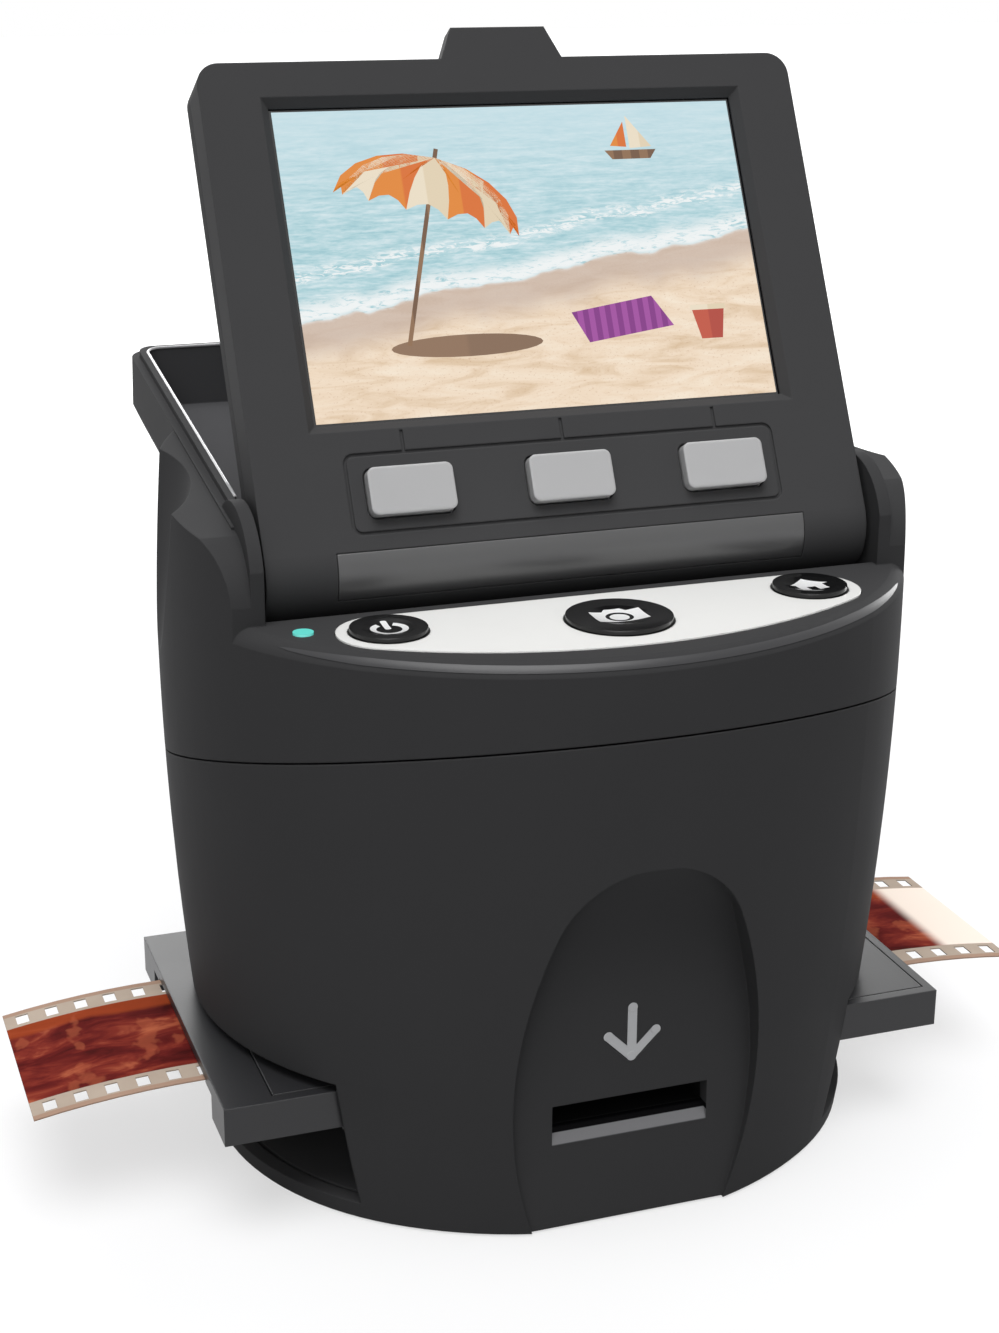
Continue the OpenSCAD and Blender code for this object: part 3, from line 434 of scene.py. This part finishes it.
def drop_on(outlines, height, cell=0.35, offset=0.013):
    """Verts and faces (mm) of filled outlines, cut into small cells and laid on the surface height(x, y).

    Inner outlines are holes. The offset keeps the cuts away from the outlines' own straight edges.
    """
    cu = bpy.data.curves.new("outline", "CURVE")
    cu.dimensions = "2D"
    cu.fill_mode = "BOTH"
    for pts in outlines:
        sp = cu.splines.new("POLY")
        sp.points.add(len(pts) - 1)
        for p, (x, y) in zip(sp.points, pts):
            p.co = (x, y, 0, 1)
        sp.use_cyclic_u = True
    ob = add_object("outline", cu)
    flat = bpy.data.meshes.new_from_object(ob.evaluated_get(bpy.context.evaluated_depsgraph_get()))
    bm = bmesh.new()
    bm.from_mesh(flat)
    bpy.data.objects.remove(ob)
    bpy.data.curves.remove(cu)
    bpy.data.meshes.remove(flat)
    bmesh.ops.remove_doubles(bm, verts=bm.verts, dist=1e-5)
    span = [max(abs(v.co[i]) for v in bm.verts) for i in (0, 1)]
    for axis, no in enumerate((Vector((1, 0, 0)), Vector((0, 1, 0)))):
        n = int(span[axis] / cell) + 1
        for k in range(-n, n + 1):
            geom = bm.verts[:] + bm.edges[:] + bm.faces[:]
            bmesh.ops.bisect_plane(bm, geom=geom, plane_co=no * (k * cell + offset), plane_no=no, dist=1e-6)
    bmesh.ops.recalc_face_normals(bm, faces=bm.faces)
    if sum(f.normal.z for f in bm.faces) < 0:
        bmesh.ops.reverse_faces(bm, faces=bm.faces)
    bm.verts.index_update()
    verts = [Vector((v.co.x, v.co.y, height(v.co.x, v.co.y))) for v in bm.verts]
    faces = [[v.index for v in f.verts] for f in bm.faces]
    bm.free()
    return verts, faces


def arc(cx, cy, r, a0, a1, n=32):
    """Points on an arc, with the angles in degrees."""
    angles = [math.radians(a0 + (a1 - a0) * i / n) for i in range(n + 1)]
    return [(cx + r * math.cos(a), cy + r * math.sin(a)) for a in angles]


def rounded(x0, y0, x1, y1, r, n=6):
    """Outline of a rectangle with rounded corners."""
    pts = []
    for cx, cy, a in ((x1 - r, y0 + r, -90), (x1 - r, y1 - r, 0), (x0 + r, y1 - r, 90), (x0 + r, y0 + r, 180)):
        pts += arc(cx, cy, r, a, a + 90, n)
    return pts


def printed_white():
    """Thick glossy white ink."""
    m = Mat("icon_ink")
    speck = m.noise(3000, 2)
    col = m.mix(speck, srgb(226, 227, 228), srgb(246, 246, 246))
    rough = m.math("ADD", 0.3, m.math("MULTIPLY", speck, 0.1))
    return m.finish(col, rough, m.bump(speck, 0.004 * MM, 0.4), Coat_Weight=0.6)


INK = printed_white()


def icon(name, body, outlines):
    """White pictogram printed in the dish of a deck button. The top of the pictogram points to the rear."""
    x, y, r = BUTTONS[body]
    dish = 3 * r
    verts, faces = drop_on(
        outlines, lambda u, v: BTN_TOP - DISH + dish - math.sqrt(dish * dish - u * u - v * v) + INK_LIFT)
    return mesh_piece(name, [(v + Vector((x, y, 0))) * MM for v in verts], faces, INK, body)


ring = arc(0, -0.35, 2.75, 118, 422, 60) + arc(0, -0.35, 1.85, 422, 118, 60)
stroke = rounded(-0.46, -0.1, 0.46, 3.1, 0.3)
icon("power_icon", "power_button", [ring, stroke])
camera_body = [(-3.9, -2.4), (3.9, -2.4), (3.9, 2.3), (1.9, 2.3), (1.2, 3.2), (-1.2, 3.2), (-1.9, 2.3), (-3.9, 2.3)]
lens_rings = [arc(0, -0.1, r, 0, 356, 40) for r in (2.05, 1.45)]
icon("camera_icon", "capture_button", [camera_body, *lens_rings])
house = [(-2.2, -2.3), (-0.7, -2.3), (-0.7, -0.4), (0.7, -0.4), (0.7, -2.3), (2.2, -2.3),
         (2.2, 0.3), (3.1, 0.3), (0, 3.0), (-3.1, 0.3), (-2.2, 0.3)]
icon("house_icon", "home_button", [house])

# ---------------------------------------------------------------- trim


def tube(name, path, radius, mat, body, sides=8):
    """Closed thin round bar along a path (mm)."""
    verts, faces = [], []
    for i, at in enumerate(path):
        along = (path[min(i + 1, len(path) - 1)] - path[max(i - 1, 0)]).normalized()
        side = along.cross(Vector((0, 0, 1))).normalized()
        over = side.cross(along)
        for k in range(sides):
            a = math.tau * k / sides
            verts.append((at + (side * math.cos(a) + over * math.sin(a)) * radius) * MM)
    for i in range(len(path) - 1):
        for k in range(sides):
            j = (k + 1) % sides
            faces.append((i * sides + k, (i + 1) * sides + k, (i + 1) * sides + j, i * sides + j))
    faces.append(tuple(range(sides)))
    faces.append(tuple(range(len(verts) - sides, len(verts)))[::-1])
    return mesh_piece(name, verts, faces, mat, body)


def rim_path(side, front=8.6, notch=11.65, out=0.12, drop=0.1):
    """Inner top edge of the well's rim on one side, from the front to the notch for the finger tab (mm)."""
    w, end, r = WELL_HALF_W + out, WELL_LEN + out, WELL_R + out
    flat = [(w, front + (end - r - front) * i / 12) for i in range(12)]
    flat += arc(w - r, end - r, r, 0, 90, 8)
    flat += [(w - r - (w - r - notch) * i / 6, end) for i in range(1, 7)]
    return [(WELL @ (Vector((side * x, y, RIM_H - drop)) * MM)) / MM for x, y in flat]


# The light grey of the bars along the well's side rims is a painted highlight
BEAD_R = 0.28
tube("rim_bead_left", rim_path(-1), BEAD_R, rim_painted_highlight, "root")
tube("rim_bead_right", rim_path(1)[::-1], BEAD_R, rim_painted_highlight, "root")


def deck_edge(middle_y=-14, reach=72, tilt=44, half_tilt=12, lift=0.09, rows=7, spots=73):
    """Smooth band on the rounded front edge of the deck, laid on the top shell.

    It runs from -reach to reach degrees round (0, middle_y), is widest in the middle, and lies at half_tilt degrees
    to either side of tilt on the edge's rounding. Lift is its height over the shell (mm).
    """
    tree = BVHTree.FromObject(nodes["top_shell"], bpy.context.evaluated_depsgraph_get())
    verts, faces = [], []
    for i in range(spots):
        a = math.radians(-reach + 2 * reach * i / (spots - 1))
        out = Vector((math.sin(a), -math.cos(a), 0))
        for k in range(rows):
            half = half_tilt * min(1, 3 * math.sin(math.pi * i / (spots - 1))) ** 0.5
            lean = math.radians(tilt + half * (2 * k / (rows - 1) - 1))
            z = DECK_Z - DECK_R * (1 - math.sin(lean))
            start = (Vector((0, middle_y, z)) + out * 90) * MM
            hit, normal, _, _ = tree.ray_cast(start, -out)
            verts.append(hit + normal * lift * MM)
    for i in range(spots - 1):
        for k in range(rows - 1):
            j = i * rows + k
            faces.append((j, j + rows, j + rows + 1, j + 1))
    mesh_piece("deck_edge_band", verts, faces, deck_satin, "root")


deck_edge()


def round_end(name, x, z, r=0.79, front=-45.13, back=-45.04, sides=28):
    """Flat silver dot with a rounded rim that rounds an end of the arrow above the slot (mm)."""
    verts, faces = [Vector((x, front, z))], []
    rings = ((0.12, front), (0.03, front + 0.02), (0.0, front + 0.05), (0.0, back))
    for smaller, y in rings:
        for k in range(sides):
            a = math.tau * k / sides
            verts.append(Vector((x + (r - smaller) * math.cos(a), y, z + (r - smaller) * math.sin(a))))
    last = len(rings) - 1
    for k in range(sides):
        j = (k + 1) % sides
        faces.append((0, 1 + k, 1 + j))
        for ring_no in range(last):
            lo = 1 + ring_no * sides
            faces.append((lo + k, lo + sides + k, lo + sides + j, lo + j))
    faces.append(tuple(range(1 + last * sides, 1 + (last + 1) * sides))[::-1])
    dot = mesh_piece(name, [v * MM for v in verts], faces, silver_print, "root")
    for f in dot.data.polygons:
        f.use_smooth = False


for i, (at_x, at_z) in enumerate(ARROW_ENDS):
    round_end(f"arrow_end_{i + 1}", at_x, at_z)

# ---------------------------------------------------------------- display picture


def on_screen(u, v, lift=0.0):
    """Point of the display at u, v from 0 to 1, just in front of its glass."""
    return LID @ (Vector(((u - 0.5) * PIC_W, GLASS_Y - PIC_LIFT - lift, PIC_Z + v * PIC_H)) * MM)


class Paint(Mat):
    """Screen material in the piece's own UVs: what it shows is lit from behind, under gloss."""

    def __init__(self, name):
        super().__init__(name)
        self.pos = self.new("ShaderNodeTexCoord").outputs["UV"]
        self.u, self.v, _ = self.xyz()

    def lit(self, col, level=0.92):
        self.put(self.p.inputs["Emission Color"], col)
        self.p.inputs["Emission Strength"].default_value = level
        return self.finish((0.004, 0.004, 0.005, 1), 0.12, Specular_IOR_Level=0.4, Coat_Weight=0.3)


def streak(m, d, start, start_soft, stop, stop_soft):
    """1 where the distance d from the shore lies between start and stop."""
    return m.math("MULTIPLY", m.step(d, start, start_soft), m.math("SUBTRACT", 1.0, m.step(d, stop, stop_soft)))


def bay_picture():
    """Bay seen from a dune: water above a slanting shore, foam along it, sand in front."""
    m = Paint("screen_bay")
    long_waves = m.noise(9, 5, 0.62, m.stretch(1, 5.5, 1), 0.3)
    small_waves = m.noise(42, 3, 0.6, m.stretch(1, 3.2, 1))
    depth = m.math("ADD", m.math("MULTIPLY", long_waves, 0.65), m.math("MULTIPLY", small_waves, 0.35))
    water = m.ramp(depth, [(0.32, srgb(138, 190, 202)), (0.46, srgb(174, 213, 220)),
                           (0.56, srgb(200, 226, 232)), (0.68, srgb(228, 241, 243))])
    water = m.mix(m.step(m.v, 0.78, 0.3), water, m.mix(depth, srgb(182, 218, 229), srgb(218, 236, 240)))
    wander = m.math("SUBTRACT", m.noise(5, 3, 0.5, m.stretch(1, 0.2, 1)), 0.5)
    shore = m.math("ADD", 0.33, m.math("MULTIPLY", m.u, 0.22))
    shore = m.math("ADD", shore, m.math("MULTIPLY", wander, 0.16))
    d = m.math("SUBTRACT", m.v, shore)
    grains = m.noise(150, 3, 0.7)
    dunes = m.noise(7, 4, 0.6, m.stretch(1, 3, 1), 0.8)
    sand = m.ramp(dunes, [(0.3, srgb(224, 196, 162)), (0.5, srgb(244, 222, 196)), (0.7, srgb(250, 234, 212))])
    sand = m.mix(m.math("MULTIPLY", m.step(grains, 0.62, 0.05), 0.35), sand, srgb(186, 142, 104))
    wet = m.math("MULTIPLY", m.step(d, -0.10, 0.05), 0.75)
    sand = m.mix(wet, sand, m.mix(grains, srgb(186, 164, 152), srgb(212, 192, 178)))
    foam_noise = m.noise(30, 4, 0.7, m.stretch(1, 2.5, 1), 1.0)
    foam = m.math("MULTIPLY", streak(m, d, 0.0, 0.012, 0.055, 0.03), m.step(foam_noise, 0.42, 0.08))
    second = m.math("MULTIPLY", streak(m, d, 0.12, 0.01, 0.16, 0.02), m.step(foam_noise, 0.52, 0.05))
    foam = m.math("MAXIMUM", foam, second)
    col = m.mix(m.step(d, 0.0, 0.004), sand, water)
    return m.lit(m.mix(foam, col, srgb(244, 248, 248)))


def stripes(name, a, b, count, speck=0.2):
    """Woven cloth or painted stripes across u."""
    m = Paint(name)
    s = m.step(m.math("FRACT", m.math("MULTIPLY", m.u, count)), 0.5, 0.02)
    col = m.mix(s, srgb(*a), srgb(*b))
    return m.lit(m.mix(m.math("MULTIPLY", m.noise(90, 3), speck), col, (0.02, 0.02, 0.02, 1)))


def patch(name, outline, mat, lift):
    """Flat shape in the display picture, from screen coordinates, fanned from its middle."""
    n = len(outline)
    us, vs = zip(*outline)
    pts = [(sum(us) / n, sum(vs) / n)] + list(outline)
    faces = [(0, i + 1, (i + 1) % n + 1) for i in range(n)]
    uvs = [((u - min(us)) / (max(us) - min(us)), (v - min(vs)) / (max(vs) - min(vs))) for u, v in pts]
    return mesh_piece(name, [on_screen(u, v, lift) for u, v in pts], faces, mat, "lid", uvs)


points, quads = grid(48, 32)
# The picture keeps a narrow border of black glass round it
inset = [(0.006 + u * 0.988, 0.009 + v * 0.982) for u, v in points]
mesh_piece("screen_picture", [on_screen(u, v) for u, v in inset], quads, bay_picture(), "lid", points)

orange = stripes("screen_orange", (240, 142, 40), (232, 116, 30), 1)
cream = stripes("screen_cream", (250, 236, 210), (240, 222, 190), 1)
violet = stripes("screen_violet", (138, 40, 140), (170, 74, 168), 9)
wood = stripes("screen_wood", (150, 112, 78), (120, 86, 58), 3)
shade = stripes("screen_shade", (150, 116, 88), (140, 108, 82), 1)
red = stripes("screen_red", (206, 84, 56), (188, 66, 46), 1)

# Parasol in screen coordinates: its top, lean, number of ribs, half width of the cloth, height of the cloth and how
# deep its hem curves up between ribs
PARASOL_TOP = (0.33, 0.83)
PARASOL_LEAN = math.radians(-16)
RIBS, SPREAD, DROP, HEM = 7, 0.30, 0.19, 0.035
POLE_HALF_W, POLE_FOOT, POLE_TIP = 0.007, -0.62, 0.03


def turned(x, y):
    """Screen coordinates of a point of the leaning parasol."""
    c, s = math.cos(PARASOL_LEAN), math.sin(PARASOL_LEAN)
    return (PARASOL_TOP[0] + (x * c - y * s) / ASPECT, PARASOL_TOP[1] + x * s + y * c)


turn = [i * math.tau / 28 for i in range(28)]
round_shade = [(0.34 + 0.16 * math.cos(a), 0.225 + 0.035 * math.sin(a)) for a in turn]
patch("screen_parasol_shade", round_shade, shade, 0.01)
pole = [(-POLE_HALF_W, POLE_FOOT), (POLE_HALF_W, POLE_FOOT), (POLE_HALF_W, POLE_TIP), (-POLE_HALF_W, POLE_TIP)]
patch("screen_parasol_pole", [turned(x, y) for x, y in pole], wood, 0.02)
down = (0.35, 0.65, 0.95, 1.25)
for k in range(RIBS):
    x0, x1 = [SPREAD * math.cos(math.radians(180 - 180 * rib / RIBS)) for rib in (k, k + 1)]
    hem = [(x0 + (x1 - x0) * t, -DROP + HEM * math.sin(math.pi * t)) for t in (0, 0.25, 0.5, 0.75, 1)]
    side1 = [(x1 * math.sin(t), -DROP + DROP * math.cos(t)) for t in down[::-1]]
    side0 = [(x0 * math.sin(t), -DROP + DROP * math.cos(t)) for t in down]
    gore = [turned(x, y) for x, y in hem + side1 + [(0, 0)] + side0]
    patch(f"screen_parasol_{k + 1}", gore, orange if k % 2 == 0 else cream, 0.03)

# A cloth and a bucket on the sand, and a small boat
for name, outline, mat, lift in (
    ("screen_cloth", [(0.60, 0.21), (0.79, 0.25), (0.75, 0.35), (0.57, 0.31)], violet, 0.02),
    ("screen_bucket", [(0.848, 0.20), (0.895, 0.20), (0.908, 0.30), (0.835, 0.30)], red, 0.02),
    ("screen_bucket_rim", [(0.832, 0.295), (0.911, 0.295), (0.911, 0.312), (0.832, 0.312)], cream, 0.03),
    ("screen_boat", [(0.715, 0.805), (0.80, 0.805), (0.815, 0.835), (0.70, 0.835)], wood, 0.02),
    ("screen_sail", [(0.757, 0.84), (0.806, 0.845), (0.757, 0.95)], cream, 0.03),
    ("screen_jib", [(0.714, 0.85), (0.750, 0.845), (0.750, 0.93)], orange, 0.03),
):
    patch(name, outline, mat, lift)

# ---------------------------------------------------------------- light, floor and camera

scene = bpy.context.scene
scene.view_settings.view_transform = "Standard"

world = bpy.data.worlds.new("studio")
world.use_nodes = True
scene.world = world
wt = world.node_tree
bg = wt.nodes["Background"]
bg.inputs["Color"].default_value = (1, 1, 1, 1)


def link(node, *sources):
    for i, src in enumerate(sources):
        wt.links.new(src, node.inputs[i])
    return node.outputs[0]


def maximum(a, b):
    n = wt.nodes.new("ShaderNodeMath")
    n.operation = "MAXIMUM"
    return link(n, a, b)


# The white background shows to the camera and in mirrors and glass; the light it gives is softer near the horizon.
rays = wt.nodes.new("ShaderNodeLightPath").outputs
seen = maximum(maximum(rays["Is Camera Ray"], rays["Is Glossy Ray"]), rays["Is Transmission Ray"])
up_down = wt.nodes.new("ShaderNodeSeparateXYZ")
link(up_down, wt.nodes.new("ShaderNodeTexCoord").outputs["Generated"])
dome = wt.nodes.new("ShaderNodeMapRange")
dome.inputs[FROM_MIN].default_value = -0.1
dome.inputs[TO_MIN].default_value = WORLD_LOW
dome.inputs[TO_MAX].default_value = WORLD_HIGH
link(dome, up_down.outputs["Z"])
white = wt.nodes.new("ShaderNodeMapRange")
white.inputs[TO_MAX].default_value = 1.0
link(white, seen)
wt.links.new(dome.outputs[0], white.inputs[TO_MIN])
wt.links.new(white.outputs[0], bg.inputs["Strength"])


def sun(name, azimuth, elevation, level, angle):
    """Wide soft lamp. Azimuth 0 stands in front of the object, 90 on its right."""
    li = bpy.data.lights.new(name, "SUN")
    li.energy = level
    li.angle = math.radians(angle)
    a, e = math.radians(azimuth), math.radians(elevation)
    d = Vector((math.sin(a) * math.cos(e), -math.cos(a) * math.cos(e), math.sin(e)))
    add_object(name, li).rotation_euler = d.to_track_quat("Z", "Y").to_euler()


sun("key_above", -20, 74, 2.35, 45)
sun("front_fill", -24, 32, 0.42, 22)


def softbox(name, at, target, size, radiance):
    """Panel lamp of a given brightness."""
    li = bpy.data.lights.new(name, "AREA")
    li.shape = "RECTANGLE"
    li.size, li.size_y = size
    li.energy = radiance * math.pi * size[0] * size[1]
    o = add_object(name, li)
    o.location = at
    o.rotation_euler = (Vector(at) - Vector(target)).to_track_quat("Z", "Y").to_euler()


softbox("rear_panel", (0.05, 1.0, 0.45), (0, 0, 0.08), (1.1, 0.5), 3.0)
softbox("side_panel", (0.95, 0.55, 0.29), (0.04, -0.04, 0.09), (0.35, 0.35), 6.0)


def floor(half=3.0, far=0.42, far_soft=0.24):
    """Grey floor that takes shadows and glows to the camera, up to white beyond the distance far (m)."""
    m = Mat("floor_sweep")
    rays = m.new("ShaderNodeLightPath").outputs
    soft = m.noise(3, 2)
    m.finish(m.mix(soft, (0.33, 0.33, 0.34, 1), (0.36, 0.36, 0.36, 1)), 0.9, Specular_IOR_Level=0.0)
    m.put(m.p.inputs["Emission Color"], (1, 1, 1, 1))
    shown = m.math("MAXIMUM", rays["Is Camera Ray"], rays["Is Glossy Ray"])
    shown = m.math("MAXIMUM", shown, rays["Is Transmission Ray"])
    x, y, _ = m.xyz()
    away = m.math("SQRT", m.math("ADD", m.math("MULTIPLY", x, x), m.math("MULTIPLY", y, y)))
    level = m.math("ADD", FLOOR_GLOW, m.math("MULTIPLY", m.step(away, far, far_soft), 1.0 - FLOOR_GLOW))
    m.put(m.p.inputs["Emission Strength"], m.math("MULTIPLY", shown, level))
    points, quads = grid(24, 24)
    me = bpy.data.meshes.new("floor")
    me.from_pydata([((u - 0.5) * 2 * half, (v - 0.5) * 2 * half, 0.0) for u, v in points], [], quads)
    me.materials.append(m.m)
    o = add_object("floor", me)


floor()

# Camera at the photograph's viewing angle
EYE = Vector((-118.85, -320.85, 191.73)) * MM
YAW, PITCH, ROLL = -0.340, 0.330, 0.005
back = Vector((math.sin(YAW) * math.cos(PITCH), -math.cos(YAW) * math.cos(PITCH), math.sin(PITCH)))
level_right = (-back).cross(Vector((0, 0, 1))).normalized()
level_up = level_right.cross(-back)
right = math.cos(ROLL) * level_right + math.sin(ROLL) * level_up
up = -math.sin(ROLL) * level_right + math.cos(ROLL) * level_up
cam = bpy.data.cameras.new("camera")
cam.lens = 60.709
cam.sensor_width = 36
cam.sensor_fit = "AUTO"
cam.clip_start = 0.01
cam.clip_end = 20
co = add_object("camera", cam)
co.matrix_world = Matrix.Translation(EYE) @ Matrix((right, up, back)).transposed().to_4x4()
scene.camera = co
